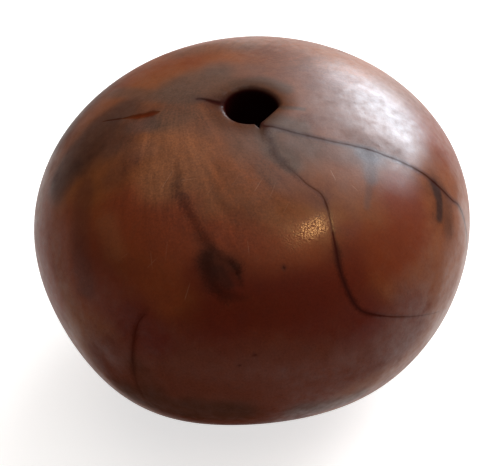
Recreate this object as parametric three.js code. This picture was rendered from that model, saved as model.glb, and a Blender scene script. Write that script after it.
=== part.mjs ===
// An ojime: the bead that slides down the paired cords of a hung box or pouch and draws them tight.
// It is one lump of amber, rubbed by hand to a lopsided oval, ground flat underneath and drilled
// through for the cords. Nothing is fitted in it: the bore is bare, and both its mouths are rounded.
// Millimetres. +Z runs up the bore, and the origin is the middle of the ground foot.

import * as THREE from "three";
import { mergeVertices } from "three/addons/utils/BufferGeometryUtils.js";

// The lump, before it is ground and drilled. Its middle is the point where its girdle meets the bore.
const GIRDLE_WIDTH = 20;
const CROWN_RISE = 7.4; // middle to crown
const BELLY_DROP = 8.65; // middle to the underside, before the foot is ground
const FULLNESS = 2.1; // 2 is a true ellipse, and more is squarer at the shoulders
const OVAL_SHARE = 0.035; // how far the girdle is longer one way than round, and shorter the other
const OVAL_BEARING = 42; // degrees from +X round to the girdle's long way
const LEAN = 4; // degrees by which the lump leans towards +X, off the line of the bore

// Places that handling has worn flatter than the rest: degrees round from +X, degrees above the
// girdle, and how far the flat lies from the middle.
const SIDE_FLAT_REACH = 10.55;
const FRONT_FLAT_REACH = 9.4;
const WORN_FLATS = [
  { bearing: 203, pitch: -22.5, reach: SIDE_FLAT_REACH },
  { bearing: 277, pitch: -49, reach: FRONT_FLAT_REACH },
];
const WEAR_SHARPNESS = 14; // more makes a crisper edge where a flat meets the round

// The foot that the bead stands on, and the bore.
const FOOT_GRIND = 0.4; // depth taken off the underside
const BORE_DIAMETER = 2.3;
const MOUTH_ROUND = 0.32; // radius of the rounding at each end of the bore

// How finely the skin is divided.
const AROUND_STEPS = 64;
const SKIN_STEPS = 30;
const ROUND_STEPS = 3;
const BORE_STEPS = 5;
const SEARCH_STEPS = 40;

const QUARTER_TURN = Math.PI / 2;
const BORE_RADIUS = BORE_DIAMETER / 2;
const MOUTH_RADIUS = BORE_RADIUS + MOUTH_ROUND;
const MIDDLE_HEIGHT = BELLY_DROP - FOOT_GRIND;

// A unit direction from its bearing and its pitch, both in radians.
function direction(bearing, pitch) {
  return new THREE.Vector3(
    Math.cos(pitch) * Math.cos(bearing),
    Math.cos(pitch) * Math.sin(bearing),
    Math.sin(pitch),
  );
}

const intoLump = new THREE.Quaternion().setFromAxisAngle(
  new THREE.Vector3(0, 1, 0),
  -THREE.MathUtils.degToRad(LEAN),
);

const flats = WORN_FLATS.map(({ bearing, pitch, reach }) => ({
  facing: direction(THREE.MathUtils.degToRad(bearing), THREE.MathUtils.degToRad(pitch)),
  reach,
}));

// Distance from the middle to the skin along a unit direction: a rounded oval, softly cut by the flats.
function skinReach(way) {
  const own = way.clone().applyQuaternion(intoLump);
  const longWay = Math.atan2(own.y, own.x) - THREE.MathUtils.degToRad(OVAL_BEARING);
  const girdleRadius = (GIRDLE_WIDTH / 2) * (1 + OVAL_SHARE * Math.cos(2 * longWay));
  const halfHeight = own.z > 0 ? CROWN_RISE : BELLY_DROP;
  const across = Math.hypot(own.x, own.y) / girdleRadius;
  const along = Math.abs(own.z) / halfHeight;
  const oval = (across ** FULLNESS + along ** FULLNESS) ** (1 / FULLNESS);
  const cuts = flats.map(({ facing, reach }) => Math.max(0, way.dot(facing)) / reach);
  const closeness = [oval, ...cuts].reduce((sum, cut) => sum + cut ** WEAR_SHARPNESS, 0);
  return closeness ** (-1 / WEAR_SHARPNESS);
}

// The point of the skin at a bearing and a pitch from the middle.
function skinPoint(bearing, pitch) {
  const way = direction(bearing, pitch);
  const point = way.clone().multiplyScalar(skinReach(way));
  point.z += MIDDLE_HEIGHT;
  return point;
}

// The pitch between low and high at which the test on the skin's point turns true.
function pitchWhere(bearing, low, high, test) {
  for (let step = 0; step < SEARCH_STEPS; step++) {
    const half = (low + high) / 2;
    if (test(skinPoint(bearing, half))) high = half;
    else low = half;
  }
  return (low + high) / 2;
}

// A point at a bearing, a distance from the bore's axis and a height.
function turned(bearing, radius, height) {
  return new THREE.Vector3(radius * Math.cos(bearing), radius * Math.sin(bearing), height);
}

// The bead's section at one bearing, as points that run out over the foot, up the skin to the crown
// and back down the bore.
function section(bearing) {
  const footPitch = pitchWhere(bearing, -QUARTER_TURN, 0, (p) => p.z > 0);
  const mouthPitch = pitchWhere(
    bearing,
    0,
    QUARTER_TURN,
    (p) => Math.hypot(p.x, p.y) < MOUTH_RADIUS,
  );
  const points = [turned(bearing, MOUTH_RADIUS, 0)];
  for (let step = 0; step <= SKIN_STEPS; step++) {
    const pitch = THREE.MathUtils.lerp(footPitch, mouthPitch, step / SKIN_STEPS);
    points.push(skinPoint(bearing, pitch));
  }
  const footEdge = points[1];
  footEdge.z = 0;
  const crown = points.at(-1).z;
  for (let step = 1; step <= ROUND_STEPS; step++) {
    const turn = (step / ROUND_STEPS) * QUARTER_TURN;
    const radius = MOUTH_RADIUS - MOUTH_ROUND * Math.sin(turn);
    points.push(turned(bearing, radius, crown - MOUTH_ROUND * (1 - Math.cos(turn))));
  }
  for (let step = 1; step <= BORE_STEPS; step++) {
    const height = THREE.MathUtils.lerp(crown - MOUTH_ROUND, MOUTH_ROUND, step / BORE_STEPS);
    points.push(turned(bearing, BORE_RADIUS, height));
  }
  for (let step = ROUND_STEPS - 1; step > 0; step--) {
    const turn = (step / ROUND_STEPS) * QUARTER_TURN;
    const radius = MOUTH_RADIUS - MOUTH_ROUND * Math.sin(turn);
    points.push(turned(bearing, radius, MOUTH_ROUND * (1 - Math.cos(turn))));
  }
  return points;
}

// One closed skin through the sections at every bearing.
function beadGeometry() {
  const sections = Array.from({ length: AROUND_STEPS }, (_, step) =>
    section((step / AROUND_STEPS) * 2 * Math.PI),
  );
  const perSection = sections[0].length;
  const faces = [];
  for (let here = 0; here < AROUND_STEPS; here++) {
    const next = (here + 1) % AROUND_STEPS;
    for (let low = 0; low < perSection; low++) {
      const high = (low + 1) % perSection;
      const a = here * perSection + low;
      const b = next * perSection + low;
      const c = next * perSection + high;
      const d = here * perSection + high;
      faces.push(a, b, c, a, c, d);
    }
  }
  const geometry = new THREE.BufferGeometry().setFromPoints(sections.flat());
  geometry.setIndex(faces);
  const whole = mergeVertices(geometry);
  whole.computeVertexNormals();
  return whole;
}

const amber = new THREE.MeshStandardMaterial({
  color: 0x6e3b27,
  roughness: 0.38,
  metalness: 0,
});

const bead = new THREE.Mesh(beadGeometry(), amber);
bead.name = "bead";

const ojime = new THREE.Group();
ojime.name = "ojime";
ojime.add(bead);

export default ojime;
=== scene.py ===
"""An old ojime bead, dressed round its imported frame. Blender 4.5, metres, +Z up the bore.

The bead is one lump of amber, so it is one piece here too. Its skin is rounded from the frame's own
node, made finer along every crack and vein, then swelled, cracked, stained and polished.
"""

import math
from collections import namedtuple

import bmesh
import bpy
import numpy as np
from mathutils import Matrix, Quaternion, Vector, noise
from mathutils.bvhtree import BVHTree
from mathutils.kdtree import KDTree


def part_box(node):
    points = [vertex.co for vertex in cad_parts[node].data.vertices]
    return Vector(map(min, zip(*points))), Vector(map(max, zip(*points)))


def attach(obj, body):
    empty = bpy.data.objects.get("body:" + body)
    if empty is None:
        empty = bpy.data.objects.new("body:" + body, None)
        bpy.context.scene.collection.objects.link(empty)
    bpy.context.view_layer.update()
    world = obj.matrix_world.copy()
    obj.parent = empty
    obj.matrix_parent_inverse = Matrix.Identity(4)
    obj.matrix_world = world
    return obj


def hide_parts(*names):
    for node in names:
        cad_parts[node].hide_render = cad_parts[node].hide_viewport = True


MM = 0.001

# The photograph's frame, in its own pixels, and its camera.
FRAME_MIDDLE = (249.5, 232.5)
LUMP_MIDDLE = (251.76, 225.4)
FOCUS_PIXELS = 3484.8
FRAME_WIDTH_PIXELS = 500
SENSOR_WIDTH = 36.0
VIEW_PITCH = math.radians(44.12)
VIEW_DISTANCE = 160 * MM
NEAREST_SEEN = 1 * MM
FARTHEST_SEEN = 100.0

# The lump: where its middle lies up the bead's height, and its bore.
MIDDLE_SHARE = 0.527
BORE_RADIUS = 1.15 * MM

# The rounding of the frame's own node.
SAME_POINT = 0.001 * MM
ROUNDING_LEVELS = 2

# How fine the skin is: its longest edge by a crack or scratch, by a vein, and elsewhere, how much longer
# an edge may be for each step away from a line, and at how many half widths from it that starts.
FINEST_EDGE = 0.05 * MM
VEIN_EDGE = 0.16 * MM
COARSEST_EDGE = 0.5 * MM
EDGE_GROWTH = 1.0
FINE_HALF_WIDTHS = 1.2
FINER_PASSES = 12

# Places on the bead: a pixel of the photograph, a bearing and pitch in degrees round the lump's middle,
# a bearing and a reach in millimetres from the bore's line, or a bearing and a depth down the bore.
Seen = namedtuple("Seen", "x y")
Turned = namedtuple("Turned", "bearing pitch")
Lip = namedtuple("Lip", "bearing reach")
Down = namedtuple("Down", "bearing depth")

# A line over the skin: its places, its half widths at its start, middle and end, its depth and how far
# it wanders, all in millimetres, then how strong its colour is, and how red the gap of a crack glows.
Line = namedtuple("Line", "places half_widths depth wander strength glow", defaults=(0,))

CRACKS = {
    "long_crack": Line(
        [
            Down(-66, 1.8), Down(-66, 0.6), Lip(-68, 1.2), Lip(-67, 1.42), Seen(272, 126.3),
            Seen(284, 129.5), Seen(296, 133), Seen(314, 137), Seen(333, 141.5), Seen(350, 145),
            Seen(368, 149), Seen(384, 155), Seen(397, 160), Seen(410, 166), Seen(424, 174),
            Seen(438, 186), Seen(451, 199), Seen(461, 211), Turned(-10, -8), Turned(-7, -24),
            Turned(-12, -40),
        ],
        (0.06, 0.054, 0.02), 0.003, 0.014, 0.85,
    ),
    "mouth_notch": Line(
        [Down(-76, 1.4), Down(-76, 0.4), Lip(-76, 1.3), Lip(-76, 1.45)],
        (0.06, 0.06, 0.03), 0.02, 0.0, 1.0,
    ),
    "branch_crack": Line(
        [
            Seen(286, 166), Seen(299, 177), Seen(308, 185), Seen(320, 193), Seen(326.5, 206.5),
            Seen(330.6, 222), Seen(333.7, 239), Seen(336, 251), Seen(339, 268), Seen(344, 283),
            Seen(351, 298), Seen(358, 308), Seen(370, 313.5), Seen(396, 316.5), Seen(427, 314),
            Seen(439, 311),
        ],
        (0.01, 0.042, 0.012), 0.005, 0.014, 0.65,
    ),
    "mouth_crack": Line(
        [
            Down(168, 1.0), Down(168, 0.4), Lip(168, 1.25), Seen(220, 102.8), Seen(213, 101.4),
            Seen(205, 99.2), Seen(197, 98.4),
        ],
        (0.12, 0.13, 0.09), 0.02, 0.02, 0.95, 0.15,
    ),
    "open_crack": Line(
        [
            Seen(160, 111), Seen(153, 112.8), Seen(146, 114.4), Seen(139, 115.6), Seen(131, 116.6),
            Seen(122, 118),
        ],
        (0.02, 0.19, 0.03), 0.02, 0.02, 0.8, 1,
    ),
    "open_tail": Line(
        [Seen(121, 118.1), Seen(111, 119.5), Seen(102, 121.4)],
        (0.04, 0.05, 0.02), 0.01, 0.02, 0.35, 0.4,
    ),
    "low_crack": Line(
        [
            Seen(144.4, 314), Seen(137.7, 322.6), Seen(133.6, 337.5), Seen(132, 354), Seen(134.4, 376),
            Seen(142.7, 396),
        ],
        (0.024, 0.032, 0.01), 0.008, 0.02, 0.3,
    ),
    "pit_high": Line([Seen(283, 266.5), Seen(284, 269)], (0.04, 0.045, 0.03), 0.01, 0, 0.8),
    "pit_low": Line([Seen(253, 355), Seen(256, 354.4)], (0.04, 0.05, 0.03), 0.01, 0, 0.5),
    "pit_left": Line([Seen(238, 365), Seen(240, 364.6)], (0.03, 0.04, 0.03), 0.01, 0, 0.5),
    "back_crack": Line(
        [
            Turned(86, 36), Turned(94, 28), Turned(98, 18), Turned(107, 8), Turned(111, -6),
            Turned(121, -20), Turned(118, -36),
        ],
        (0.012, 0.05, 0.012), 0.12, 0.02, 0.9,
    ),
    "back_branch": Line(
        [Turned(109, -2), Turned(124, 2), Turned(139, -3), Turned(150, -1)],
        (0.02, 0.04, 0.01), 0.08, 0.02, 0.8,
    ),
    "right_crack": Line(
        [Turned(22, 12), Turned(30, 2), Turned(27, -12), Turned(33, -28)],
        (0.01, 0.06, 0.01), 0.12, 0.02, 0.8, 0.6,
    ),
    "foot_crack": Line(
        [Turned(-150, -38), Turned(-158, -50), Turned(-148, -62), Turned(-155, -74)],
        (0.01, 0.05, 0.03), 0.12, 0.02, 0.9,
    ),
}

VEINS = {
    "front_vein": Line(
        [
            Seen(176, 156), Seen(178, 173), Seen(178, 190), Seen(185, 204), Seen(195, 222),
            Seen(205, 237), Seen(216, 252), Seen(230, 266), Seen(240, 285),
        ],
        (0.07, 0.24, 0.12), 0, 0.06, 0.5,
    ),
    "front_fork": Line(
        [Seen(207, 257), Seen(208, 271), Seen(215, 286), Seen(227, 293.5), Seen(244, 298.5)],
        (0.3, 0.36, 0.12), 0, 0.06, 0.7,
    ),
    "front_tip": Line(
        [Seen(227, 259), Seen(234, 268), Seen(237, 276), Seen(242, 285)],
        (0.16, 0.26, 0.1), 0, 0.04, 0.85,
    ),
    "branch_shade": Line(
        [Seen(264, 128), Seen(271, 142), Seen(275.5, 155), Seen(291.5, 171), Seen(313, 189)],
        (0.2, 0.22, 0.07), 0, 0.05, 0.5,
    ),
    "branch_dark": Line(
        [Seen(332, 232), Seen(336, 251), Seen(341, 276), Seen(351, 298), Seen(362, 311), Seen(380, 315)],
        (0.08, 0.17, 0.05), 0, 0.03, 0.6,
    ),
    "right_band": Line(
        [Seen(368, 151), Seen(372, 168), Seen(369, 190), Seen(364, 218)],
        (0.4, 0.2, 0.05), 0, 0.04, 0.2,
    ),
    "low_shade": Line(
        [Seen(148, 308), Seen(137, 322), Seen(133, 350), Seen(134, 378), Seen(144, 398)],
        (0.12, 0.18, 0.08), 0, 0.03, 0.25,
    ),
    "back_vein": Line(
        [Turned(58, 34), Turned(62, 18), Turned(72, 4), Turned(74, -14), Turned(84, -32)],
        (0.1, 0.3, 0.1), 0, 0.08, 0.8,
    ),
    "back_fork": Line(
        [Turned(68, 8), Turned(58, -4), Turned(54, -20)],
        (0.2, 0.24, 0.08), 0, 0.08, 0.7,
    ),
    "left_vein": Line(
        [Turned(160, 22), Turned(166, 10), Turned(162, -4), Turned(168, -24), Turned(164, -44)],
        (0.1, 0.26, 0.08), 0, 0.08, 0.6,
    ),
}

# Each scratch's start, end and strength.
SCRATCH_SPOTS = [
    (Seen(160, 190), Seen(173, 169), 1.0), (Seen(179, 180), Seen(198, 178), 0.8),
    (Seen(254, 191), Seen(263, 176), 0.9), (Seen(247, 240), Seen(249, 256), 0.8),
    (Seen(330, 169), Seen(336, 181), 1.0), (Seen(351, 184), Seen(358, 191), 0.9),
    (Seen(146, 268), Seen(158, 256), 0.5), (Seen(150, 250), Seen(152, 270), 0.5),
    (Seen(184, 300), Seen(191, 278), 0.6), (Seen(128, 252), Seen(116, 262), 0.4),
    (Seen(167, 240), Seen(165, 262), 0.4), (Seen(231, 186), Seen(240, 172), 0.5),
    (Seen(270, 196), Seen(276, 180), 0.5), (Seen(205, 196), Seen(216, 182), 0.4),
    (Seen(282, 214), Seen(292, 196), 0.4),
]
SCRATCH_HALF_WIDTHS = (0.012, 0.022, 0.012)
SCRATCH_WANDER = 0.01
SCRATCHES = {
    f"scratch_{number}": Line([start, end], SCRATCH_HALF_WIDTHS, 0, SCRATCH_WANDER, strength)
    for number, (start, end, strength) in enumerate(SCRATCH_SPOTS)
}

# Lines through the small stains, near which the skin is made finer so that they keep their shape.
SMALL_STAINS = {
    "sparkle": Line([Seen(296, 233), Seen(318, 223)], (0.55, 0.55, 0.55), 0, 0, 0),
    "right_spot": Line([Seen(434, 184), Seen(439, 200), Seen(438, 216)], (0.3, 0.3, 0.3), 0, 0, 0),
    "right_band": Line([Seen(371, 156), Seen(370, 190)], (0.2, 0.2, 0.2), 0, 0, 0),
}

# A stain: a run of places, its reach in millimetres, and its strength.
Stain = namedtuple("Stain", "places reach strength")

STAINS = {
    "smoke": [
        Stain([Seen(176, 88), Seen(196, 80), Seen(214, 76)], 1.1, 0.85),
        Stain([Seen(180, 94), Seen(200, 92), Seen(218, 94)], 0.7, 0.7),
        Stain([Seen(166, 118), Seen(204, 124)], 1.0, 0.5),
        Stain([Seen(112, 93), Seen(150, 96), Seen(192, 98)], 0.5, 0.7),
        Stain([Seen(186, 112), Seen(160, 120)], 0.8, 0.5),
        Stain([Seen(236, 84), Seen(262, 80), Seen(286, 88)], 0.45, 0.8),
        Stain([Seen(250, 140), Seen(276, 138), Seen(300, 150)], 1.4, 0.6),
        Stain([Seen(281, 107), Seen(303, 108.5)], 0.16, 0.8),
        Stain([Seen(266, 134), Seen(272, 150), Seen(290, 163)], 0.55, 0.9),
        Stain([Seen(262, 168), Seen(272, 180)], 0.4, 0.45),
        Stain([Seen(276, 122), Seen(298, 127)], 0.6, 0.85),
        Stain([Turned(96, 50), Turned(120, 44)], 1.1, 0.5),
    ],
    "slate": [
        Stain([Seen(292, 144), Seen(330, 152), Seen(362, 156)], 0.6, 0.8),
        Stain([Seen(356, 153), Seen(377, 160)], 0.5, 0.85),
        Stain([Seen(356, 140), Seen(394, 153)], 0.5, 0.7),
        Stain([Seen(371, 158), Seen(370, 176)], 0.42, 0.85),
        Stain([Seen(370, 180), Seen(366, 206)], 0.2, 0.6),
        # This one is a painted reflection tint: grey-lilac laid under the window's reflection so that it
        # reads cooler.
        Stain([Seen(292, 78), Seen(350, 112), Seen(396, 138)], 2.4, 0.6),
        Stain([Seen(310, 168), Seen(352, 180)], 0.9, 0.35),
        Stain([Seen(216, 68), Seen(246, 70)], 0.8, 0.6),
        Stain([Seen(130, 127), Seen(150, 125)], 0.5, 0.7),
        Stain([Seen(108, 150), Seen(146, 150)], 0.6, 0.4),
        Stain([Turned(20, 40), Turned(34, 26)], 1.8, 0.5),
    ],
    "bloom": [
        Stain([Seen(361, 152), Seen(374, 156)], 0.45, 0.55),
        Stain([Seen(369, 158), Seen(370, 178)], 0.4, 0.35),
        Stain([Seen(288, 184), Seen(318, 200)], 0.8, 0.25),
        Stain([Seen(346, 196), Seen(352, 226)], 0.7, 0.15),
        Stain([Seen(140, 125), Seen(200, 128), Seen(258, 130)], 0.6, 0.12),
        Stain([Seen(188, 78), Seen(240, 76)], 0.7, 0.12),
    ],
    "dusk": [
        Stain([Seen(122, 110), Seen(98, 126), Seen(78, 148), Seen(58, 180)], 1.0, 0.85),
        Stain([Seen(146, 105), Seen(122, 110)], 0.8, 0.4),
        Stain([Seen(118, 138), Seen(104, 150), Seen(84, 162)], 1.1, 0.6),
        Stain([Seen(72, 172), Seen(58, 196)], 0.7, 0.5),
        Stain([Seen(434, 182), Seen(446, 202), Seen(448, 226)], 0.7, 0.6),
        # These four make the skin darker along its bottom edge, towards the floor.
        Stain([Seen(132, 394), Seen(168, 406), Seen(236, 412)], 1.3, 0.7),
        Stain([Seen(136, 366), Seen(150, 386)], 0.8, 0.45),
        Stain([Seen(196, 405), Seen(236, 409)], 0.7, 0.4),
        Stain([Seen(300, 410), Seen(352, 398)], 1.0, 0.65),
        Stain([Turned(164, 20), Turned(150, 26), Turned(136, 18)], 1.8, 0.7),
        Stain([Turned(76, -8), Turned(90, -34)], 1.6, 0.6),
    ],
    "soot": [
        Stain([Seen(114, 132), Seen(98, 144), Seen(80, 164)], 0.7, 0.5),
        Stain([Seen(434, 184), Seen(437, 194)], 0.3, 0.7),
        Stain([Seen(437, 190), Seen(439.5, 202), Seen(439, 217)], 0.27, 1.0),
        Stain([Seen(429, 188), Seen(434, 202), Seen(436, 216)], 0.5, 0.35),
        Stain([Seen(209, 260), Seen(229, 266)], 0.65, 0.55),
        Stain([Seen(216, 270), Seen(227, 284)], 0.3, 0.55),
        Stain([Seen(198, 236), Seen(210, 252)], 0.42, 0.4),
        Stain([Seen(202, 262), Seen(207, 282)], 0.5, 0.4),
        Stain([Turned(128, -28), Turned(140, -36)], 1.0, 0.6),
        Stain([Turned(14, -30), Turned(24, -44)], 0.8, 0.6),
    ],
    "tan": [
        Stain([Seen(166, 140), Seen(184, 158), Seen(162, 178)], 1.4, 0.9),
        Stain([Seen(216, 140), Seen(236, 148)], 0.9, 0.4),
        Stain([Seen(206, 50), Seen(240, 47)], 1.1, 0.3),
        Stain([Seen(106, 224), Seen(112, 250)], 0.7, 0.45),
        Stain([Seen(196, 176), Seen(205, 204)], 0.7, 0.45),
        Stain([Turned(56, 46), Turned(40, 30)], 1.8, 0.6),
    ],
    "umber": [
        Stain([Seen(84, 190), Seen(79, 240), Seen(86, 286)], 0.7, 0.7),
        Stain([Seen(256, 50), Seen(300, 54)], 1.1, 0.45),
        Stain([Seen(286, 122), Seen(308, 124)], 0.8, 0.6),
        Stain([Seen(128, 160), Seen(112, 178)], 0.7, 0.6),
        Stain([Seen(324, 200), Seen(334, 250)], 0.9, 0.4),
        Stain([Turned(160, 0), Turned(166, -26)], 1.2, 0.6),
    ],
    "russet": [
        Stain([Seen(138, 199), Seen(186, 202)], 0.8, 0.85),
        Stain([Seen(50, 190), Seen(43, 240), Seen(56, 300)], 1.0, 0.6),
        Stain([Seen(124, 216), Seen(150, 226), Seen(196, 246), Seen(270, 262), Seen(336, 256)], 1.7, 0.9),
        Stain([Seen(70, 230), Seen(90, 290), Seen(160, 296)], 1.6, 0.6),
        Stain([Turned(200, 0), Turned(180, -10)], 2.4, 0.7),
        Stain([Turned(60, 10), Turned(80, 20)], 2.2, 0.7),
    ],
    "rust_and_glow": [
        # The first is a painted glow: light shining through the amber at its right side, laid on as deeper
        # orange-red.
        Stain([Seen(404, 200), Seen(408, 232), Seen(388, 254), Seen(352, 252)], 1.5, 0.9),
        Stain([Seen(120, 84), Seen(150, 70), Seen(190, 60)], 1.0, 0.35),
        Stain([Seen(140, 272), Seen(168, 296)], 1.0, 0.45),
        Stain([Seen(198, 268), Seen(246, 274), Seen(292, 276)], 0.9, 0.35),
        Stain([Turned(12, 26), Turned(20, 4), Turned(36, -8)], 2.0, 0.7),
        Stain([Turned(100, 14), Turned(128, 22)], 2.2, 0.6),
        Stain([Turned(-140, -50), Turned(-110, -62)], 2.0, 0.4),
    ],
    "maroon": [
        Stain([Seen(200, 274), Seen(228, 284)], 0.9, 0.6),
        Stain([Seen(128, 322), Seen(156, 334), Seen(214, 324)], 0.9, 0.7),
        Stain([Seen(140, 318), Seen(158, 340)], 0.8, 0.6),
        Stain([Seen(346, 262), Seen(358, 304)], 1.0, 0.65),
        Stain([Seen(226, 314), Seen(250, 310), Seen(310, 302)], 1.8, 0.95),
        Stain([Seen(310, 304), Seen(350, 312), Seen(362, 318)], 1.5, 0.8),
        Stain([Seen(92, 262), Seen(112, 300), Seen(136, 330)], 1.6, 0.6),
        Stain([Turned(60, -36), Turned(110, -40), Turned(160, -34)], 2.2, 0.9),
    ],
    "plum": [
        # Painted shade and a painted veil of reflection: the lower part, all round, laid on darker and
        # greyer.
        Stain([Seen(120, 370), Seen(200, 376), Seen(280, 376), Seen(350, 360), Seen(400, 330)], 2.2, 1.0),
        Stain([Seen(190, 412), Seen(290, 412)], 2.2, 1.0),
        Stain([Turned(-140, -50), Turned(-90, -58), Turned(-40, -52), Turned(10, -48)], 2.6, 1.0),
        Stain([Turned(60, -60), Turned(110, -60), Turned(160, -56)], 2.6, 1.0),
    ],
    "dry": [
        Stain([Seen(158, 386), Seen(200, 398), Seen(232, 402)], 2.5, 1.0),
        Stain([Seen(76, 256), Seen(88, 296), Seen(122, 330)], 1.4, 0.8),
        Stain([Seen(92, 354), Seen(120, 384)], 1.2, 0.95),
        Stain([Seen(84, 322), Seen(112, 334), Seen(140, 320)], 1.1, 0.6),
        Stain([Seen(438, 156), Seen(452, 186)], 0.8, 0.75),
        Stain([Lip(140, 1.25), Lip(170, 1.25)], 0.16, 1.0),
        Stain([Lip(-170, 1.25), Lip(-120, 1.25)], 0.16, 0.35),
        Stain([Seen(180, 336), Seen(250, 334), Seen(350, 332)], 2.1, 0.95),
        Stain([Seen(56, 190), Seen(44, 240), Seen(58, 300)], 1.8, 0.75),
        Stain([Seen(84, 156), Seen(78, 206)], 1.2, 0.6),
        Stain([Seen(280, 396), Seen(324, 388), Seen(362, 378)], 1.5, 0.65),
        Stain([Seen(352, 136), Seen(396, 150)], 0.5, 0.6),
        Stain([Seen(312, 90), Seen(322, 120), Seen(350, 134)], 1.5, 0.2),
        Stain([Seen(78, 130), Seen(112, 92), Seen(160, 62)], 2.2, 0.95),
        Stain([Seen(160, 62), Seen(204, 50)], 1.6, 0.95),
        Stain([Seen(434, 186), Seen(444, 216)], 1.3, 1.0),
        Stain([Seen(346, 300), Seen(372, 316)], 1.6, 0.6),
        Stain([Seen(438, 256), Seen(432, 300)], 0.6, 0.5),
        Stain([Seen(318, 196), Seen(334, 226), Seen(324, 256)], 1.4, 0.5),
        Stain([Seen(284, 204), Seen(318, 204)], 0.7, 0.6),
        Stain([Seen(330, 152), Seen(384, 168)], 0.7, 0.45),
        Stain([Seen(404, 206), Seen(406, 236), Seen(380, 258)], 2.6, 0.7),
        Stain([Seen(150, 250), Seen(230, 250), Seen(300, 258)], 1.8, 0.4),
        Stain([Seen(154, 400), Seen(200, 416), Seen(238, 418)], 2.0, 1.0),
    ],
    "waxed": [
        Stain([Seen(344, 70), Seen(386, 92)], 1.1, 0.3),
        Stain([Seen(338, 148), Seen(360, 160)], 0.8, 0.35),
        Stain([Seen(44, 200), Seen(42, 260), Seen(66, 320), Seen(92, 358)], 0.9, 0.4),
        Stain([Seen(384, 172), Seen(402, 180)], 0.9, 0.5),
        Stain([Seen(346, 352), Seen(382, 326)], 0.8, 0.35),
        Stain([Seen(402, 136), Seen(414, 158)], 0.6, 0.4),
        Stain([Seen(464, 214), Seen(467, 236), Seen(452, 300), Seen(436, 326)], 0.85, 1.0),
    ],
    "pitted": [
        Stain([Seen(307, 230), Seen(319, 224)], 0.4, 0.9),
        Stain([Seen(292, 238), Seen(326, 222)], 0.6, 0.35),
    ],
    "fibre": [
        Stain([Seen(190, 110), Seen(160, 150), Seen(180, 190), Seen(240, 200)], 2.6, 1.0),
        Stain([Turned(60, 50), Turned(90, 40)], 3.0, 0.8),
    ],
}


class Net:
    """A node tree that is written as plain sums and calls."""

    def __init__(self, tree):
        self.tree = tree

    def add(self, kind, inputs=None, out=0, **settings):
        """Adds a node, sets it, then fills its inputs with values or wires. Returns one output's wire."""
        node = self.tree.nodes.new(kind)
        for name, value in settings.items():
            setattr(node, name, value)
        for key, value in (inputs or {}).items():
            if isinstance(value, Wire):
                self.tree.links.new(value.socket, node.inputs[key])
            else:
                node.inputs[key].default_value = value
        return Wire(self, node.outputs[out]) if node.outputs else None

    def scaled(self, vector, factor):
        return self.add("ShaderNodeVectorMath", {0: vector, 3: factor}, operation="SCALE")

    def dot(self, vector, axis):
        ends = {0: vector, 1: tuple(axis)}
        return self.add("ShaderNodeVectorMath", ends, out="Value", operation="DOT_PRODUCT")


class Wire:
    """A node's output. A sum of wires and numbers adds its Math nodes."""

    def __init__(self, net, socket):
        self.net, self.socket = net, socket

    def maths(self, operation, *terms):
        return self.net.add("ShaderNodeMath", dict(enumerate(terms)), operation=operation)

    def other(self, out):
        """Another output of the same node."""
        return Wire(self.net, self.socket.node.outputs[out])

    def __add__(self, term):
        return self.maths("ADD", self, term)

    __radd__ = __add__

    def __sub__(self, term):
        return self.maths("SUBTRACT", self, term)

    def __rsub__(self, term):
        return self.maths("SUBTRACT", term, self)

    def __mul__(self, term):
        return self.maths("MULTIPLY", self, term)

    __rmul__ = __mul__

    def __truediv__(self, term):
        return self.maths("DIVIDE", self, term)

    def __rtruediv__(self, term):
        return self.maths("DIVIDE", term, self)

    def __pow__(self, term):
        return self.maths("POWER", self, term)

    def at_most(self, limit):
        return self.maths("MINIMUM", self, limit)

    def clamp(self):
        return self.net.add("ShaderNodeClamp", {0: self})

    def swing(self):
        """How far a pattern lies above or below its middle."""
        return self - 0.5

    def ease(self, low, high):
        """0 below low and 1 above high, or the other way round if low is the larger."""
        ends = {0: self, 1: low, 2: high, 3: 0.0, 4: 1.0}
        if low > high:
            ends = {0: self, 1: high, 2: low, 3: 1.0, 4: 0.0}
        return self.net.add("ShaderNodeMapRange", ends, interpolation_type="SMOOTHSTEP")


def camera_axes():
    """The camera's right, up and forward directions."""
    right = Vector((1, 0, 0))
    forward = Vector((0, math.cos(VIEW_PITCH), -math.sin(VIEW_PITCH)))
    return right, right.cross(forward), forward


def add_camera(middle):
    """The photograph's camera, so placed that the lump's middle falls on its own pixel."""
    right, up, forward = camera_axes()
    to_metres = VIEW_DISTANCE / FOCUS_PIXELS
    aside = right * ((FRAME_MIDDLE[0] - LUMP_MIDDLE[0]) * to_metres)
    above = up * ((LUMP_MIDDLE[1] - FRAME_MIDDLE[1]) * to_metres)
    data = bpy.data.cameras.new("photo_camera")
    data.sensor_width = SENSOR_WIDTH
    data.lens = SENSOR_WIDTH * FOCUS_PIXELS / FRAME_WIDTH_PIXELS
    data.clip_start, data.clip_end = NEAREST_SEEN, FARTHEST_SEEN
    camera = bpy.data.objects.new("photo_camera", data)
    camera.location = middle - forward * VIEW_DISTANCE + aside + above
    camera.rotation_euler = (math.pi / 2 - VIEW_PITCH, 0, 0)
    bpy.context.scene.collection.objects.link(camera)
    bpy.context.scene.camera = camera


def link_mesh(name, mesh):
    piece = bpy.data.objects.new(name, mesh)
    bpy.context.scene.collection.objects.link(piece)
    return piece


def plain_mesh(piece):
    """The evaluated mesh of a piece, which takes the place of its modifiers."""
    evaluated = piece.evaluated_get(bpy.context.evaluated_depsgraph_get())
    made = bpy.data.meshes.new_from_object(evaluated)
    piece.modifiers.clear()
    piece.data = made
    return made


def vertex_vectors(mesh, title):
    """A vector that every vertex of a mesh has, such as its place or its normal."""
    vectors = np.empty((len(mesh.vertices), 3))
    mesh.vertices.foreach_get(title, vectors.ravel())
    return vectors


def store(mesh, title, values):
    """Gives every vertex of a mesh a number, which a node finds by its title."""
    mesh.attributes.new(title, "FLOAT", "POINT").data.foreach_set("value", values)


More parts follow.
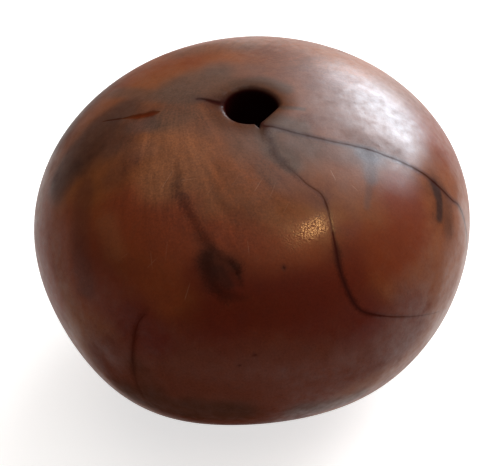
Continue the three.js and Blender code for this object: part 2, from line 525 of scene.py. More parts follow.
def rounded_skin(node):
    """The node's own faces, merged, joined to squares and rounded off by subdivision."""
    shell = bmesh.new()
    shell.from_mesh(node.data)
    bmesh.ops.remove_doubles(shell, verts=shell.verts, dist=SAME_POINT)
    bmesh.ops.join_triangles(
        shell,
        faces=shell.faces,
        angle_face_threshold=math.pi,
        angle_shape_threshold=math.pi,
    )
    mesh = bpy.data.meshes.new("rounded_skin")
    shell.to_mesh(mesh)
    shell.free()
    piece = link_mesh("rounded_skin", mesh)
    rounding = piece.modifiers.new("rounding", "SUBSURF")
    rounding.levels = rounding.render_levels = ROUNDING_LEVELS
    made = plain_mesh(piece)
    bpy.data.objects.remove(piece)
    return made


# The mouth at the crown: its flat side, its low side, its notch, and how far the cords have drawn it.
MOUTH_FLAT_BEARING = math.radians(-36)
MOUTH_FLAT_REACH = 0.86 * MM
LEAST_COSINE = 0.1
MOUTH_LOW_BEARING = math.radians(-86)
MOUTH_LOW_SHARE = 0.1
MOUTH_LOW_NARROWNESS = 6
NOTCH_BEARING = math.radians(-76.5)
NOTCH_HALF_TURN = math.radians(7)
NOTCH_SHARE = 0.19
MOUTH_CORNER_SHARPNESS = 20
MOUTH_DRAW = (-0.03 * MM, 0.07 * MM)
CROWN_CURVE = 13.5 * MM
# How far from the bore's line, and below the crown, the wear begins to fade and has faded out.
MOUTH_WEAR_REACH = (1.5 * MM, 3.2 * MM)
MOUTH_WEAR_DEPTH = (1.0 * MM, 3.5 * MM)


def ease(value, low, high):
    """0 below low and 1 above high, with a smooth way between."""
    share = np.clip((value - low) / (high - low), 0, 1)
    return share * share * (3 - 2 * share)


def mouth_flat(points):
    """The worn mouth's share of the bore's radius, at each point's bearing."""
    bearing = np.arctan2(points[:, 1], points[:, 0])
    toward_flat = np.maximum(np.cos(bearing - MOUTH_FLAT_BEARING), LEAST_COSINE)
    flat = MOUTH_FLAT_REACH / BORE_RADIUS / toward_flat
    toward_low = np.maximum(np.cos(bearing - MOUTH_LOW_BEARING), 0)
    low = 1 - MOUTH_LOW_SHARE * toward_low ** MOUTH_LOW_NARROWNESS
    notch = NOTCH_SHARE * np.maximum(1 - np.abs(bearing - NOTCH_BEARING) / NOTCH_HALF_TURN, 0)
    sharpness = -MOUTH_CORNER_SHARPNESS
    return (low ** sharpness + flat ** sharpness) ** (1 / sharpness) + notch


def wear_mouth(mesh):
    """Flattens one side of the mouth at the crown and draws all of it a little aside."""
    points = vertex_vectors(mesh, "co")
    reach = np.hypot(points[:, 0], points[:, 1])
    depth = points[:, 2].max() - points[:, 2]
    wear = (1 - ease(reach, *MOUTH_WEAR_REACH)) * (1 - ease(depth, *MOUTH_WEAR_DEPTH))
    points[:, :2] *= (1 - (1 - mouth_flat(points)) * wear)[:, None]
    points[:, :2] += wear[:, None] * MOUTH_DRAW
    drawn = np.hypot(points[:, 0], points[:, 1])
    lifted = points[:, 2] + (reach ** 2 - drawn ** 2) / (2 * CROWN_CURVE)
    points[:, 2] = np.minimum(lifted, points[:, 2].max())
    mesh.vertices.foreach_set("co", points.ravel())
    mesh.update()


class Skin:
    """The bead's skin as points, normals and triangles, with what it takes to find a place on it."""

    def __init__(self, mesh, middle):
        mesh.calc_loop_triangles()
        self.middle = middle
        self.points = vertex_vectors(mesh, "co")
        self.normals = vertex_vectors(mesh, "normal")
        self.faces = np.empty((len(mesh.loop_triangles), 3), int)
        mesh.loop_triangles.foreach_get("vertices", self.faces.ravel())
        self.tree = BVHTree.FromPolygons(self.points.tolist(), self.faces.tolist())
        self.crown = float(self.points[:, 2].max())

    def place(self, spot):
        """The point of the skin that a named place means."""
        if isinstance(spot, Seen):
            right, up, forward = camera_axes()
            start = bpy.context.scene.camera.location
            way = forward * FOCUS_PIXELS
            way += right * (spot.x - FRAME_MIDDLE[0]) - up * (spot.y - FRAME_MIDDLE[1])
        elif isinstance(spot, Turned):
            bearing, pitch = math.radians(spot.bearing), math.radians(spot.pitch)
            out = Vector((math.cos(bearing), math.sin(bearing), math.tan(pitch))).normalized()
            start, way = self.middle + out * VIEW_DISTANCE, -out
        else:
            bearing = math.radians(spot.bearing)
            out = Vector((math.cos(bearing), math.sin(bearing), 0))
            mouth = Vector((*MOUTH_DRAW, self.crown))
            if isinstance(spot, Lip):
                start, way = mouth + out * spot.reach * MM + Vector((0, 0, MM)), Vector((0, 0, -1))
            else:
                start, way = mouth - Vector((0, 0, spot.depth * MM)), out
        point = self.tree.ray_cast(start, way.normalized())[0]
        if point is None:
            raise ValueError(f"{spot} misses the bead")
        return point

    def halve(self, wanted):
        """Halves each edge that is longer than wanted at either end. True if there was any."""
        sides = np.concatenate([self.faces[:, [0, 1]], self.faces[:, [1, 2]], self.faces[:, [2, 0]]])
        sides.sort(axis=1)
        keys, side_edge = np.unique(sides @ [len(self.points), 1], return_inverse=True)
        edges = np.stack(np.divmod(keys, len(self.points)), 1)
        face_edges = side_edge.reshape(3, -1).T
        ends = self.points[edges]
        lengths = np.linalg.norm(ends[:, 0] - ends[:, 1], axis=1)
        cut = lengths > wanted[edges].min(axis=1)
        if not cut.any():
            return False
        # A triangle with a cut edge has its longest edge cut too, so that none turns into a sliver.
        rows = np.arange(len(self.faces))
        longest = lengths[face_edges].argmax(axis=1)
        while True:
            late = cut[face_edges].any(axis=1) & ~cut[face_edges[rows, longest]]
            if not late.any():
                break
            cut[face_edges[late, longest[late]]] = True
        turn = (longest[:, None] + np.arange(3)) % 3
        corner = np.take_along_axis(self.faces, turn, axis=1)
        edge = np.take_along_axis(face_edges, turn, axis=1)
        new_id = np.full(len(edges), -1)
        new_id[cut] = len(self.points) + np.arange(cut.sum())
        self.add_points(edges[cut])
        a, b, c = corner.T
        ab, bc, ca = new_id[edge].T
        whole, left, right = ab < 0, ca >= 0, bc >= 0
        pieces = [
            corner[whole],
            np.stack([a, ab, c], 1)[~whole & ~left],
            np.stack([a, ab, ca], 1)[~whole & left],
            np.stack([ca, ab, c], 1)[~whole & left],
            np.stack([ab, b, c], 1)[~whole & ~right],
            np.stack([ab, b, bc], 1)[~whole & right],
            np.stack([ab, bc, c], 1)[~whole & right],
        ]
        self.faces = np.concatenate(pieces)
        return True

    def add_points(self, edges):
        """Adds the middle of each edge, lifted onto the curve that its two normals ask for."""
        ends, facing = self.points[edges], self.normals[edges]
        middles = ends.mean(axis=1)
        lift = np.zeros_like(middles)
        for end in (0, 1):
            above = ((middles - ends[:, end]) * facing[:, end]).sum(axis=1)
            lift -= facing[:, end] * above[:, None] / 4
        normals = facing.sum(axis=1)
        normals /= np.linalg.norm(normals, axis=1)[:, None]
        self.points = np.concatenate([self.points, middles + lift])
        self.normals = np.concatenate([self.normals, normals])

    def to_mesh(self, name):
        mesh = bpy.data.meshes.new(name)
        mesh.from_pydata(self.points.tolist(), [], self.faces.tolist())
        mesh.update()
        return mesh


def smooth_run(places, step):
    """A smooth curve through the places, as points about a step apart."""
    knots = [places[0]] + places + [places[-1]]
    run = []
    for before, here, there, after in zip(knots, knots[1:], knots[2:], knots[3:]):
        count = max(1, round((there - here).length / step))
        for index in range(count):
            t = index / count
            run.append(
                0.5 * (
                    2 * here
                    + (there - before) * t
                    + (2 * before - 5 * here + 4 * there - after) * t ** 2
                    + (3 * here - before - 3 * there + after) * t ** 3
                )
            )
    return run + [places[-1]]


# A line's run: the step along it, the span of its wander, the seed that makes the wander the same in each
# run of the script, and how far on in the wander's pattern the next line starts.
RUN_STEP = 0.05 * MM
WANDER_SPAN = 0.5 * MM
WANDER_SEED = 1
WANDER_APART = 7.0
# Over what span a line's width is uneven, and how uneven it is.
UNEVEN_SPAN = 0.4 * MM
UNEVEN_SHARE = 0.35
# Where along a line its start, middle, middle and end widths hold, and how its depth fades at its ends.
WIDTH_SHARES = (0, 0.2, 0.6, 1)
DEPTH_FADE = 12
START_DEPTH_SHARE = 0.25


def line_mesh(name, lines, skin):
    """All the lines of a kind as one mesh of edges, which holds what each line is like along its way."""
    points, edges = [], []
    titles = ("half_width", "depth", "strength", "glow")
    held = {title: [] for title in titles}
    for number, line in enumerate(lines.values()):
        run = smooth_run([skin.place(spot) for spot in line.places], RUN_STEP)
        first = len(points)
        start, middle, end = line.half_widths
        for index, point in enumerate(run):
            share = index / (len(run) - 1)
            sway = noise.noise_vector(point / WANDER_SPAN + Vector((0, 0, number * WANDER_APART)))
            near, _, _, _ = skin.tree.find_nearest(point + sway * line.wander * MM)
            width = np.interp(share, WIDTH_SHARES, (start, middle, middle, end))
            uneven = 1 + UNEVEN_SHARE * noise.noise(point / UNEVEN_SPAN)
            fade = min(1.0, DEPTH_FADE * (1 - share), START_DEPTH_SHARE + DEPTH_FADE * share)
            points.append(near)
            held["half_width"].append(width * uneven * MM)
            held["depth"].append(line.depth * MM * fade)
            held["strength"].append(line.strength * min(1.0, width / middle))
            held["glow"].append(line.glow)
        edges += [(index, index + 1) for index in range(first, len(points) - 1)]
    mesh = bpy.data.meshes.new(name)
    mesh.from_pydata(points, edges, [])
    for title, values in held.items():
        store(mesh, title, values)
    return link_mesh(name, mesh)


def finer_near(skin, lines):
    """Halves the skin's edges until they are as short near each kind of line as its finest edge."""
    trees = []
    for kind, finest in lines:
        tree = KDTree(len(kind.data.vertices))
        for vertex in kind.data.vertices:
            tree.insert(vertex.co, vertex.index)
        tree.balance()
        widths = np.empty(len(kind.data.vertices))
        kind.data.attributes["half_width"].data.foreach_get("value", widths)
        trees.append((tree, widths, finest))

    wanted = np.empty(0)
    for _ in range(FINER_PASSES):
        added = np.full(len(skin.points) - len(wanted), COARSEST_EDGE)
        for index, point in enumerate(skin.points[len(wanted):]):
            for tree, widths, finest in trees:
                _, nearest, distance = tree.find(point)
                beyond = max(0.0, distance - FINE_HALF_WIDTHS * widths[nearest])
                added[index] = min(added[index], finest + EDGE_GROWTH * beyond)
        wanted = np.concatenate([wanted, added])
        if not skin.halve(wanted):
            break


# The skin's relief: its swells and dents, and what is worn off beside the cracks and in the scratches.
RELIEF = {
    "Swell span": 2.6 * MM,
    "Swell height": 0.02 * MM,
    "Dent span": 0.7 * MM,
    "Dent height": 0.0022 * MM,
    "Worn edge depth": 0.002 * MM,
    "Scratch depth": 0.004 * MM,
}
# In half widths of a line: how far off it a point is still told apart, and where a worn edge ends.
FARTHEST_REACH = 9.0
WORN_EDGE_REACH = 4.0


def weather_tree(cracks, veins, scratches, amber):
    """Geometry nodes that swell the skin, cut the cracks in it and mark how far each line reaches."""
    tree = bpy.data.node_groups.new("weather", "GeometryNodeTree")
    face = tree.interface
    face.new_socket("Skin", in_out="INPUT", socket_type="NodeSocketGeometry")
    for name, value in RELIEF.items():
        face.new_socket(name, in_out="INPUT", socket_type="NodeSocketFloat").default_value = value
    face.new_socket("Skin", in_out="OUTPUT", socket_type="NodeSocketGeometry")
    net = Net(tree)
    entry = net.add("NodeGroupInput")
    position = net.add("GeometryNodeInputPosition")
    normal = net.add("GeometryNodeInputNormal")

    def bumps(span, height):
        """Smooth bumps of a span, as high as given from side to side."""
        pattern = net.add(
            "ShaderNodeTexNoise",
            {"Vector": position, "Scale": 1.0 / entry.other(span), "Detail": 1.0},
        )
        return pattern.swing() * entry.other(height)

    def moved(geometry, height):
        """The geometry with each point moved out along its normal."""
        offset = net.scaled(normal, height)
        return net.add("GeometryNodeSetPosition", {"Geometry": geometry, "Offset": offset})

    def stored(geometry, name, value):
        return net.add(
            "GeometryNodeStoreNamedAttribute",
            {"Geometry": geometry, "Name": name, "Value": value},
            data_type="FLOAT",
            domain="POINT",
        )

    def marked(geometry, lines, name, titles=("strength",)):
        """Stores how many half widths each point is from the lines, and what they hold by these titles."""
        target = net.add("GeometryNodeObjectInfo", {"Object": lines}, out="Geometry")
        far = net.add("GeometryNodeProximity", {0: target}, out="Distance", target_element="EDGES")
        index = net.add("GeometryNodeSampleNearest", {"Geometry": target}, domain="POINT")

        def held(title):
            value = net.add("GeometryNodeInputNamedAttribute", {"Name": title}, data_type="FLOAT")
            return net.add(
                "GeometryNodeSampleIndex",
                {"Geometry": target, "Value": value, "Index": index},
                data_type="FLOAT",
            )

        reach = (far / held("half_width")).at_most(FARTHEST_REACH)
        geometry = stored(geometry, f"{name}_reach", reach)
        for title in titles:
            geometry = stored(geometry, f"{name}_{title}", held(title))
        return geometry, reach, held

    skin = moved(entry, bumps("Swell span", "Swell height") + bumps("Dent span", "Dent height"))
    skin, _, _ = marked(skin, veins, "vein")
    skin, scratch, _ = marked(skin, scratches, "scratch")
    skin, crack, held_by_crack = marked(skin, cracks, "crack", ("strength", "glow"))
    groove = crack.ease(1.0, 0.0) * held_by_crack("depth")
    worn = crack.ease(WORN_EDGE_REACH, 0.0) * entry.other("Worn edge depth")
    scored = scratch.ease(1.0, 0.0) * entry.other("Scratch depth")
    skin = moved(skin, 0.0 - groove - worn - scored)
    skin = net.add("GeometryNodeRealizeInstances", {"Geometry": skin})
    skin = net.add("GeometryNodeSetMaterial", {"Geometry": skin, "Material": amber})
    net.add("NodeGroupOutput", {0: skin})
    return tree


# A stain is whole up to the first of these shares of its reach, and has faded out at the second.
STAIN_SHARES = (0.3, 1.5)


def bore_reach(points):
    """How far each point lies from the bore's line, in millimetres, as if the mouth had no wear."""
    drawn = (1 - ease(points[:, 2].max() - points[:, 2], *MOUTH_WEAR_DEPTH))[:, None]
    aside = points[:, :2] - drawn * MOUTH_DRAW
    return np.hypot(*aside.T) / (1 - (1 - mouth_flat(aside)) * drawn[:, 0]) / MM


def distance_to_run(points, spots):
    """How far each point lies from the nearest stretch between one place and the next."""
    near = np.full(len(points), np.inf)
    for start, end in zip(spots, spots[1:]):
        along = end - start
        share = np.clip((points - start) @ along / (along @ along), 0, 1)
        near = np.minimum(near, np.linalg.norm(points - start - share[:, None] * along, axis=1))
    return near


def stain_mesh(mesh, skin):
    """Stores how strong each kind of stain is at every vertex, and how far the bore's line is."""
    points = vertex_vectors(mesh, "co")
    store(mesh, "bore_reach", bore_reach(points))
    for name, stains in STAINS.items():
        clear = np.ones(len(points))
        for stain in stains:
            near = distance_to_run(points, [np.array(skin.place(spot)) for spot in stain.places])
            whole, gone = (share * stain.reach * MM for share in STAIN_SHARES)
            clear *= 1 - stain.strength * (1 - ease(near, whole, gone))
        store(mesh, name, 1 - clear)


# A pattern of noise: how many of its swells a millimetre holds, its detail, and its roughness.
Pattern = namedtuple("Pattern", "scale detail roughness", defaults=(0.5,))
CLOUD = Pattern(0.32, 3.0, 0.55)
RAGGED = Pattern(1.3, 4.0, 0.62)
MOTTLE = Pattern(2.6, 3.0)
GRAIN = Pattern(11.0, 2.0)
PITS = Pattern(9.0, 1.0)
RIPPLE = Pattern(8.0, 1.0)
FINE_RIPPLE = Pattern(15.0, 1.0)
FIBRE = Pattern(1.6, 4.0, 0.7)
WAVER = Pattern(0.25, 1.0)
BOWL_SCALE = 11.0

# How a kind of stain is painted: its colour, how much of what lies under it it covers, how ragged its
# edge is, and at what strengths it begins and is whole. They lie over each other in this order, then
# come the fibres, and soot over all of them.
# Some tints also carry painted light, as said at each.
Tint = namedtuple("Tint", "colour cover rag begins whole")
TINTS = {
    "russet": Tint((0.207, 0.039, 0.012), 1.0, 0.5, 0.0, 1.0),
    "tan": Tint((0.27, 0.094, 0.036), 1.0, 0.5, 0.0, 1.0),
    # Partly a painted glow, laid on where light shines through the amber at the right side.
    "rust_and_glow": Tint((0.17, 0.03, 0.0075), 1.0, 0.5, 0.0, 1.0),
    # Painted shade and a painted grey veil of reflection, low down all round.
    "plum": Tint((0.13, 0.034, 0.019), 0.95, 0.3, 0.0, 0.9),
    "maroon": Tint((0.102, 0.0115, 0.0055), 0.95, 0.3, -0.1, 1.15),
    "umber": Tint((0.09, 0.026, 0.015), 0.7, 0.5, 0.0, 1.0),
    # Blue-grey staining, and under the window's reflection a painted reflection tint.
    "slate": Tint((0.13, 0.066, 0.05), 0.8, 0.7, 0.0, 1.1),
    "bloom": Tint((0.112, 0.096, 0.11), 1.0, 0.3, 0.0, 1.0),
    "smoke": Tint((0.088, 0.051, 0.035), 0.85, 0.4, 0.0, 1.1),
    "dusk": Tint((0.068, 0.026, 0.015), 0.9, 0.4, 0.05, 1.0),
}
SOOT = Tint((0.026, 0.009, 0.006), 0.9, 0.7, 0.0, 1.1)

# The amber's own two colours, those of what has got into it or on it, the painted shade beside the
# cracks, on the lip and down the bore, and the painted red glow in the gap of an open crack.
PALE_AMBER = (0.215, 0.061, 0.016)
DEEP_AMBER = (0.185, 0.049, 0.013)
MOUTH_GRIME = (0.055, 0.031, 0.022)
VEIN_BROWN = (0.028, 0.0055, 0.0032)
SCRATCH_PALE = (0.42, 0.22, 0.14)
CRACK_SHADE = (0.04, 0.011, 0.009)
CRACK_DARK = (0.026, 0.006, 0.005)
CRACK_GLOW = (0.1, 0.016, 0.005)
LIP_SHADE = (0.03, 0.012, 0.011)
BORE_DARK = (0.018, 0.0015, 0.0015)

# Where a mark begins and is whole: in millimetres from the bore's line, in half widths from a line, or
# in a pattern's own strength.
GRIME_FADE = (2.4, 1.4)
LIP_FADE = (1.5, 1.25)
INSIDE_FADE = (1.3, 1.18)
VEIN_FADE = (1.8, 0.0)
SCRATCH_FADE = (1.2, 0.2)
CRACK_SHADE_FADE = (5.5, 0.0)
CRACK_FADE = (1.6, 0.2)
GLOW_FADE = (1.5, 0.3)
CRACK_MATT_FADE = (1.6, 0.3)
CLOUD_FADE = (0.35, 0.65)
PIT_FADE = (0.42, 0.3)

# How far the ragged pattern and the grain push a mark's edge to and fro, in the units of its fade.
VEIN_RAG = 1.4
VEIN_GRAIN = 1.2
GRIME_RAG = 0.8

# How much of what lies under it a mark covers, and how a crack that glows changes that.
GRIME_COVER = 0.55
SCRATCH_COVER = 0.4
CRACK_SHADE_COVER = 0.8
GLOW_SHADE_LOSS = 0.5
GAP_COVER = 0.45
GLOW_GAP_GAIN = 3.5
LIP_COVER = 0.6

# The body's level, and how strongly each pattern lightens and darkens it, here and in the fan.
BODY_LEVEL = 0.91
MOTTLE_CONTRAST = 0.18
GRAIN_CONTRAST = 0.45
FAN_GRAIN_CONTRAST = 0.6
FIBRE_CONTRAST = 0.25
FAN_FIBRE_CONTRAST = 0.9
PIT_DARKNESS = 0.08
PITTED_DARKNESS = 0.3

# The fibres: how they sweep and waver as they leave their pole, how many there are in a radian, how
# drawn out they are, and how far from the pole, in millimetres, they begin and are whole.
FAN_POLE = Seen(196, 78)
FAN_SWEEP = 0.05
FAN_WAVER = 0.35
FIBRES_ROUND = 10.0
FIBRE_STRETCH = 0.25
FIBRE_FADE = (0.4, 3.0)

# How much each mark makes the amber matt, from 0, polished, to 1, and how rough it makes the polish.
# Then what bare amber has of both, and what dryness, the patterns, the plum stains, the cracks and a
# slanting view change.
MATT = {"vein": 0.3, "grime": 0.4, "inside": 0.3, "pitted": -0.36, "waxed": -0.35}
ROUGH = {"mottle": 0.1, "ragged": 0.06, "vein": 0.2, "inside": 0.3, "pitted": -0.11}
BARE_MATT = 0.5
DRY_MATT = 0.38
DRY_CALM = 0.75
MOTTLE_MATT = 0.5
RAGGED_MATT = 0.3
PLUM_MATT = 0.1
CRACK_MATT = 0.2
GLOW_MATT = 0.5
EDGE_POLISH = 0.5
EDGE_NARROWNESS = 3.0
BARE_ROUGH = 0.27
AMBER_IOR = 1.54

# The fine relief, which only bends the light: its depth, the shares of it that are ripples and bowls,
# and how fast pitting brings them in.
RELIEF_DEPTH = 0.018 * MM
RIPPLE_SHARE = 0.24
PITTED_RIPPLE_SHARE = 0.52
BOWL_SHARE = 0.28
PITTED_GAIN = 1.4


class AmberNet(Net):
    """The amber's node tree, with the patterns and marks that its colour and its polish share."""

    def __init__(self, tree):
        super().__init__(tree)
        self.place = self.scaled(self.add("ShaderNodeTexCoord", out="Object"), 1 / MM)
        self.ragged, self.mottle, self.grain = (self.pattern(kind) for kind in (RAGGED, MOTTLE, GRAIN))
        self.bore = self.held("bore_reach")
        self.crack, self.glow = self.held("crack_reach"), self.held("crack_glow")
        vein_reach = self.held("vein_reach") + self.ragged.swing() * VEIN_RAG
        vein_reach = vein_reach + self.grain.swing() * VEIN_GRAIN
        self.marks = {
            "mottle": self.mottle,
            "ragged": self.ragged,
            "vein": vein_reach.ease(*VEIN_FADE) * self.held("vein_strength"),
            "grime": (self.bore + self.ragged.swing() * GRIME_RAG).ease(*GRIME_FADE),
            "inside": self.bore.ease(*INSIDE_FADE),
            "pitted": self.held("pitted"),
            "waxed": self.held("waxed"),
        }

    def held(self, title):
        """A number that the mesh holds."""
        return self.add("ShaderNodeAttribute", out="Fac", attribute_name=title)

    def pattern(self, kind, vector=None):
        settings = {"Vector": vector or self.place}
        settings.update({name.title(): value for name, value in kind._asdict().items()})
        return self.add("ShaderNodeTexNoise", settings)

    def blend(self, share, under, over):
        """A share of one colour laid over another. A colour is a wire, or its red, green and blue."""
        under, over = (side if isinstance(side, Wire) else (*side, 1) for side in (under, over))
        return self.add("ShaderNodeMix", {0: share, 6: under, 7: over}, out=2, data_type="RGBA")

    def stained(self, under, name, tint):
        strength = self.held(name) + self.ragged.swing() * tint.rag
        return self.blend(strength.ease(tint.begins, tint.whole) * tint.cover, under, tint.colour)

    def sum_of(self, start, weights):
        """The start, and each mark times its weight."""
        for name, weight in weights.items():
            start = start + weight * self.marks[name]
        return start


def fan_of_fibres(net, pole, middle):
    """Light and dark along fibres that fan out over the skin from a place by the mouth."""
    up = (pole - middle).normalized()
    across = up.cross(Vector((0, 0, 1))).normalized()
    beyond = up.cross(across)
    out = net.add("ShaderNodeVectorMath", {0: net.place, 1: tuple(-middle / MM)}, operation="ADD")
    fan_x, fan_y, fan_z = (net.dot(out, axis) for axis in (across, beyond, up))
    far = (fan_x * fan_x + fan_y * fan_y) ** 0.5
    turn = fan_x.maths("ARCTAN2", fan_x, fan_y) + FAN_SWEEP * far + FAN_WAVER * net.pattern(WAVER)
    ends = {0: turn * FIBRES_ROUND, 1: far * FIBRE_STRETCH, 2: fan_z * FIBRE_STRETCH}
    fibre = net.pattern(FIBRE, net.add("ShaderNodeCombineXYZ", ends))
    return fibre.swing() * far.ease(*FIBRE_FADE)


def amber_colour(net, fibres):
    """The amber's own clouds, then its stains, fibres, grime, veins, scratches, cracks and pits, with
    painted shade, glow and reflection among them.
    """
    marks, glow, fan = net.marks, net.glow, net.held("fibre")
    body = net.blend(net.pattern(CLOUD).ease(*CLOUD_FADE), PALE_AMBER, DEEP_AMBER)
    for name, tint in TINTS.items():
        body = net.stained(body, name, tint)
    body = net.scaled(body, 1.0 + fibres * (FIBRE_CONTRAST + FAN_FIBRE_CONTRAST * fan))
    body = net.stained(body, "soot", SOOT)
    speckle = net.grain.swing() * (GRAIN_CONTRAST + FAN_GRAIN_CONTRAST * fan)
    body = net.scaled(body, BODY_LEVEL + MOTTLE_CONTRAST * net.mottle + speckle)
    body = net.blend(marks["grime"] * GRIME_COVER, body, MOUTH_GRIME)
    body = net.blend(marks["vein"], body, VEIN_BROWN)
    scratch = net.held("scratch_reach").ease(*SCRATCH_FADE) * net.held("scratch_strength")
    body = net.blend(scratch * SCRATCH_COVER, body, SCRATCH_PALE)
    darkness = net.held("crack_strength")
    # Painted shade: a soft dark band laid along each crack.
    shade = net.crack.ease(*CRACK_SHADE_FADE) * darkness * (CRACK_SHADE_COVER - GLOW_SHADE_LOSS * glow)
    body = net.blend(shade, body, CRACK_SHADE)
    # Painted glow: the gap of an open crack laid on red, where light shines through the amber.
    gap = net.blend(glow * glow * net.crack.ease(*GLOW_FADE), CRACK_DARK, CRACK_GLOW)
    cover = (GAP_COVER + GLOW_GAP_GAIN * glow).at_most(1.0)
    body = net.blend(net.crack.ease(*CRACK_FADE) * darkness * cover, body, gap)
    # Painted shade: the lip's rounding laid on dark, and the bore nearly black.
    body = net.blend(net.bore.ease(*LIP_FADE) * LIP_COVER, body, LIP_SHADE)
    body = net.blend(marks["inside"], body, BORE_DARK)
    pits = net.pattern(PITS).ease(*PIT_FADE)
    return net.scaled(body, 1.0 - pits * (PIT_DARKNESS + PITTED_DARKNESS * marks["pitted"]))


def amber_matt(net):
    """How matt the skin is: less where it is seen aslant, unless it is dry or plum there."""
    edge = net.add("ShaderNodeLayerWeight", {"Blend": 0.5}, out="Facing") ** EDGE_NARROWNESS
    dry, plum = net.held("dry"), net.held("plum")
    lively = 1.0 - DRY_CALM * dry
    uneven = net.mottle.swing() * MOTTLE_MATT + net.ragged.swing() * RAGGED_MATT
    matt = BARE_MATT + DRY_MATT * dry + uneven * lively
    matt = matt * (1.0 - edge * EDGE_POLISH * (1.0 - plum) * lively) + PLUM_MATT * plum
    matt = matt + (CRACK_MATT + GLOW_MATT * net.glow) * net.crack.ease(*CRACK_MATT_FADE)
    return net.sum_of(matt, MATT).clamp()


def amber_relief(net):
    """Ripples all over, and small bowls where the skin is pitted, as a bent normal."""
    rough = (PITTED_GAIN * net.marks["pitted"]).at_most(1.0)
    ripple = (net.pattern(RIPPLE) + net.pattern(FINE_RIPPLE)) * 0.5
    cells = net.add("ShaderNodeTexVoronoi", {"Vector": net.place, "Scale": BOWL_SCALE}, out="Distance")
    height = ripple * (RIPPLE_SHARE + PITTED_RIPPLE_SHARE * rough) + BOWL_SHARE * rough * cells ** 2.0
    return net.add("ShaderNodeBump", {"Strength": 1.0, "Distance": RELIEF_DEPTH, "Height": height})


def amber_material(fan_pole, middle):
    """Old amber: a red-brown body, clouded and stained, with dark cracks, painted shade, glow and
    reflection, and a worn polish.
    """
    material = bpy.data.materials.new("old_amber")
    material.use_nodes = True
    material.node_tree.nodes.clear()
    net = AmberNet(material.node_tree)
    skin = {
        "Base Color": amber_colour(net, fan_of_fibres(net, fan_pole, middle)),
        "Normal": amber_relief(net),
    }
    polish = {"Roughness": net.sum_of(BARE_ROUGH, ROUGH), "IOR": AMBER_IOR}
    polished = net.add("ShaderNodeBsdfPrincipled", {**skin, **polish})
    matt = net.add("ShaderNodeBsdfPrincipled", {**skin, "Roughness": 1.0, "Specular IOR Level": 0.0})
    surface = net.add("ShaderNodeMixShader", {0: amber_matt(net), 1: polished, 2: matt})
    net.add("ShaderNodeOutputMaterial", {"Surface": surface})
    return material


def dress_bead(node, middle):
    """The bead as one plain mesh: rounded, worn, made finer, weathered and stained."""
    rounded = rounded_skin(node)
    wear_mouth(rounded)
    skin = Skin(rounded, middle)
    noise.seed_set(WANDER_SEED)
    cracks = line_mesh("crack_lines", CRACKS, skin)
    veins = line_mesh("vein_lines", VEINS, skin)
    scratches = line_mesh("scratch_lines", SCRATCHES, skin)
    small_stains = line_mesh("small_stain_lines", SMALL_STAINS, skin)
    whole = Skin(rounded, middle)
    fine = [(cracks, FINEST_EDGE), (scratches, FINEST_EDGE), (veins, VEIN_EDGE), (small_stains, VEIN_EDGE)]
    finer_near(whole, fine)
    bead = link_mesh("amber_bead", whole.to_mesh("amber_bead"))
    amber = amber_material(skin.place(FAN_POLE), middle)
    weather = bead.modifiers.new("weather", "NODES")
    weather.node_group = weather_tree(cracks, veins, scratches, amber)
    made = plain_mesh(bead)
    stain_mesh(made, skin)
    made.shade_smooth()
    for lines in (cracks, veins, scratches, small_stains):
        bpy.data.objects.remove(lines)
    return bead


# The floor, a sheet of pale paper. What it shows to the camera and in the gloss is whiter than it is.
FLOOR_HALF_WIDTH = 2.0
PAPER_WHITE = (0.86, 0.86, 0.86, 1)
PAPER_ROUGHNESS = 0.9
PAPER_LIFT = 0.68
GLOSS_LIFT_SHARE = 0.8


def floor_material():
    material = bpy.data.materials.new("pale_paper")
    material.use_nodes = True
    material.node_tree.nodes.clear()
    net = Net(material.node_tree)
    seen = net.add("ShaderNodeLightPath", out="Is Camera Ray")
    lift = seen + GLOSS_LIFT_SHARE * seen.other("Is Glossy Ray") + seen.other("Is Transmission Ray")
    paper = net.add(
        "ShaderNodeBsdfPrincipled",
        {
            "Base Color": PAPER_WHITE,
            "Roughness": PAPER_ROUGHNESS,
            "Specular IOR Level": 0.0,
            "Emission Color": net.add("ShaderNodeCombineColor", {axis: lift for axis in range(3)}),
            "Emission Strength": PAPER_LIFT,
        },
    )
    net.add("ShaderNodeOutputMaterial", {"Surface": paper})
    return material


def add_floor():
    half = FLOOR_HALF_WIDTH
    corners = [(-half, -half, 0), (half, -half, 0), (half, half, 0), (-half, half, 0)]
    mesh = bpy.data.meshes.new("floor")
    mesh.from_pydata(corners, [], [(0, 1, 2, 3)])
    floor = link_mesh("floor", mesh)
    mesh.materials.append(floor_material())


# A flat lamp: its bearing and pitch from the bead, and how wide, high and rolled it looks from there,
# all in degrees, then its radiance, its colour, and whether it lights the gloss, the body or all.
Lamp = namedtuple("Lamp", "bearing pitch wide high roll radiance colour lights")
LAMP_DISTANCE = 0.6
DAYLIGHT = (0.74, 0.88, 1.0)
LAMPS = {
    "window": Lamp(48, 19, 21, 40, 47, 24.0, DAYLIGHT, "gloss"),
    "window_side": Lamp(67, 16, 16, 50, 14, 7.5, DAYLIGHT, "gloss"),
    "soft_window": Lamp(50, 22, 45, 38, 0, 4.6, (1.0, 0.97, 0.98), "body"),
    "soft_key": Lamp(50, 50, 45, 40, 0, 1.85, (0.93, 0.97, 1.0), "all"),
    "soft_top": Lamp(-90, 84, 60, 60, 0, 0.75, (1.0, 0.97, 0.94), "body"),
    "warm_lamp": Lamp(-19, 56, 4, 3, 0, 345.0, (1.0, 0.54, 0.2), "gloss"),
}


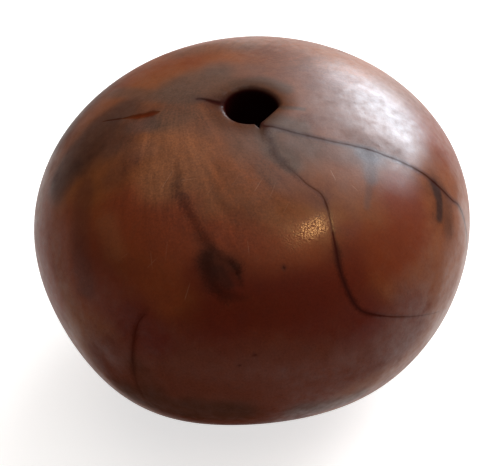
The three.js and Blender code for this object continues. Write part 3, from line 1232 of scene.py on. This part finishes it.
def add_lamp(name, lamp, middle):
    turn, rise = math.radians(lamp.bearing), math.radians(lamp.pitch)
    away = Vector((math.cos(turn) * math.cos(rise), math.sin(turn) * math.cos(rise), math.sin(rise)))
    sides = (2 * LAMP_DISTANCE * math.tan(math.radians(side) / 2) for side in (lamp.wide, lamp.high))
    data = bpy.data.lights.new(name, "AREA")
    data.shape = "RECTANGLE"
    data.size, data.size_y = sides
    data.energy = math.pi * lamp.radiance * data.size * data.size_y
    data.color = lamp.colour
    piece = bpy.data.objects.new(name, data)
    piece.location = middle + away * LAMP_DISTANCE
    rolled = Quaternion((0, 0, 1), math.radians(lamp.roll))
    piece.rotation_euler = (away.to_track_quat("Z", "Y") @ rolled).to_euler()
    piece.visible_camera = False
    piece.visible_glossy = lamp.lights in ("all", "gloss")
    piece.visible_diffuse = lamp.lights in ("all", "body")
    bpy.context.scene.collection.objects.link(piece)


# The room: white to the camera, and to the bead dim, with a glow on the window's side.
ROOM_COLOUR = (1.0, 0.89, 0.78, 1)
ROOM_GLOW_TOWARD = (0.55, 0.7, 0.45)
ROOM_GLOW_FADE = (-0.1, 1.1)
ROOM_DIM = 0.03
ROOM_GLOW = 0.55


def add_room():
    world = bpy.data.worlds.new("room")
    world.use_nodes = True
    world.node_tree.nodes.clear()
    net = Net(world.node_tree)
    near = net.dot(net.add("ShaderNodeTexCoord", out="Generated"), ROOM_GLOW_TOWARD)
    glow = ROOM_DIM + ROOM_GLOW * near.ease(*ROOM_GLOW_FADE)
    room = net.add("ShaderNodeBackground", {"Color": ROOM_COLOUR, "Strength": glow})
    white = net.add("ShaderNodeBackground", {"Color": (1, 1, 1, 1), "Strength": 1.0})
    looked_at = net.add("ShaderNodeLightPath", out="Is Camera Ray")
    surface = net.add("ShaderNodeMixShader", {0: looked_at, 1: room, 2: white})
    net.add("ShaderNodeOutputWorld", {"Surface": surface})
    bpy.context.scene.world = world


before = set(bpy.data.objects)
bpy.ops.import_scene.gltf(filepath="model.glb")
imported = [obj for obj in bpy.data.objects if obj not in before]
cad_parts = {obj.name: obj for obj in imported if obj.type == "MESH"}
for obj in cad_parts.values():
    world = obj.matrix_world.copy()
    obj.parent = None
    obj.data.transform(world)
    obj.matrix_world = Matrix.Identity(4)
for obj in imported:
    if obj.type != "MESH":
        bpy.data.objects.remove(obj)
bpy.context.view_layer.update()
bpy.context.scene.view_settings.view_transform = "Standard"
bead_low, bead_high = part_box("bead")
lump_middle = Vector((0, 0, bead_low.z + MIDDLE_SHARE * (bead_high.z - bead_low.z)))
add_camera(lump_middle)
bead = dress_bead(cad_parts["bead"], lump_middle)
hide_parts("bead")
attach(bead, "root")
add_floor()
add_room()
for lamp_name, lamp in LAMPS.items():
    add_lamp(lamp_name, lamp, lump_middle)
